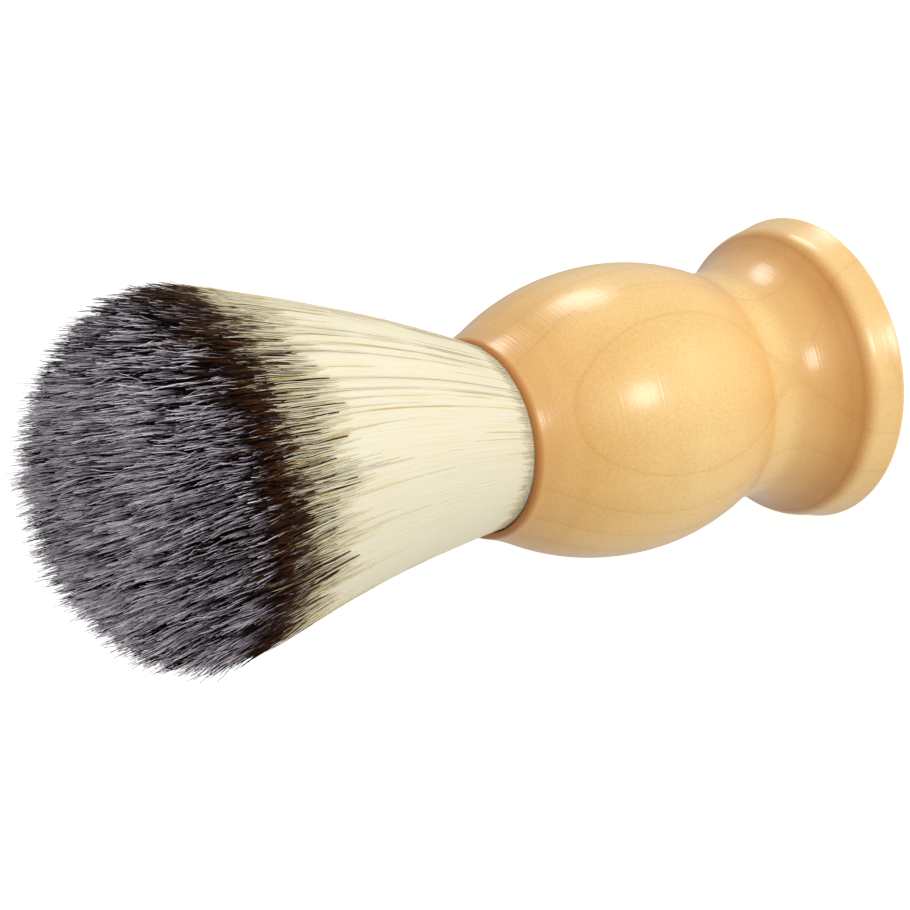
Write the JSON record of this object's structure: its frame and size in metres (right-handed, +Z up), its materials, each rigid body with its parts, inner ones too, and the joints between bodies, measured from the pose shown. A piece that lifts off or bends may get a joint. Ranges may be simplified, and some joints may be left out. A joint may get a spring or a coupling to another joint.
{
  "type": "shaving brush",
  "caption": "Wet-shaving brush: a turned, lacquered wooden handle with a flared foot, neck and round bulb, and a dome-shaped knot of soft two-tone synthetic bristles.",
  "frame": {"origin": "centre of the flat foot that the brush stands on", "axes": "+Z up from the foot to the bristle tips; +X is the side that the knot leans to; +Y completes the right-handed frame"},
  "size_m": [0.043, 0.043, 0.1065],
  "materials": {
    "lacquered_wood": "clear gloss lacquer",
    "cured_epoxy": "cured, clear amber",
    "cast_resin": "cast, ivory",
    "waxed_thread": "waxed, tightly wound",
    "bristle_fibre": "fine crimped synthetic filament, ivory with dark upper part and grey tips"
  },
  "bodies": {
    "root": {"handle": "lacquered_wood", "adhesive_bed": "cured_epoxy", "root_plug": "cast_resin", "binding_thread": "waxed_thread", "bristles": "bristle_fibre"}
  },
  "joints": []
}
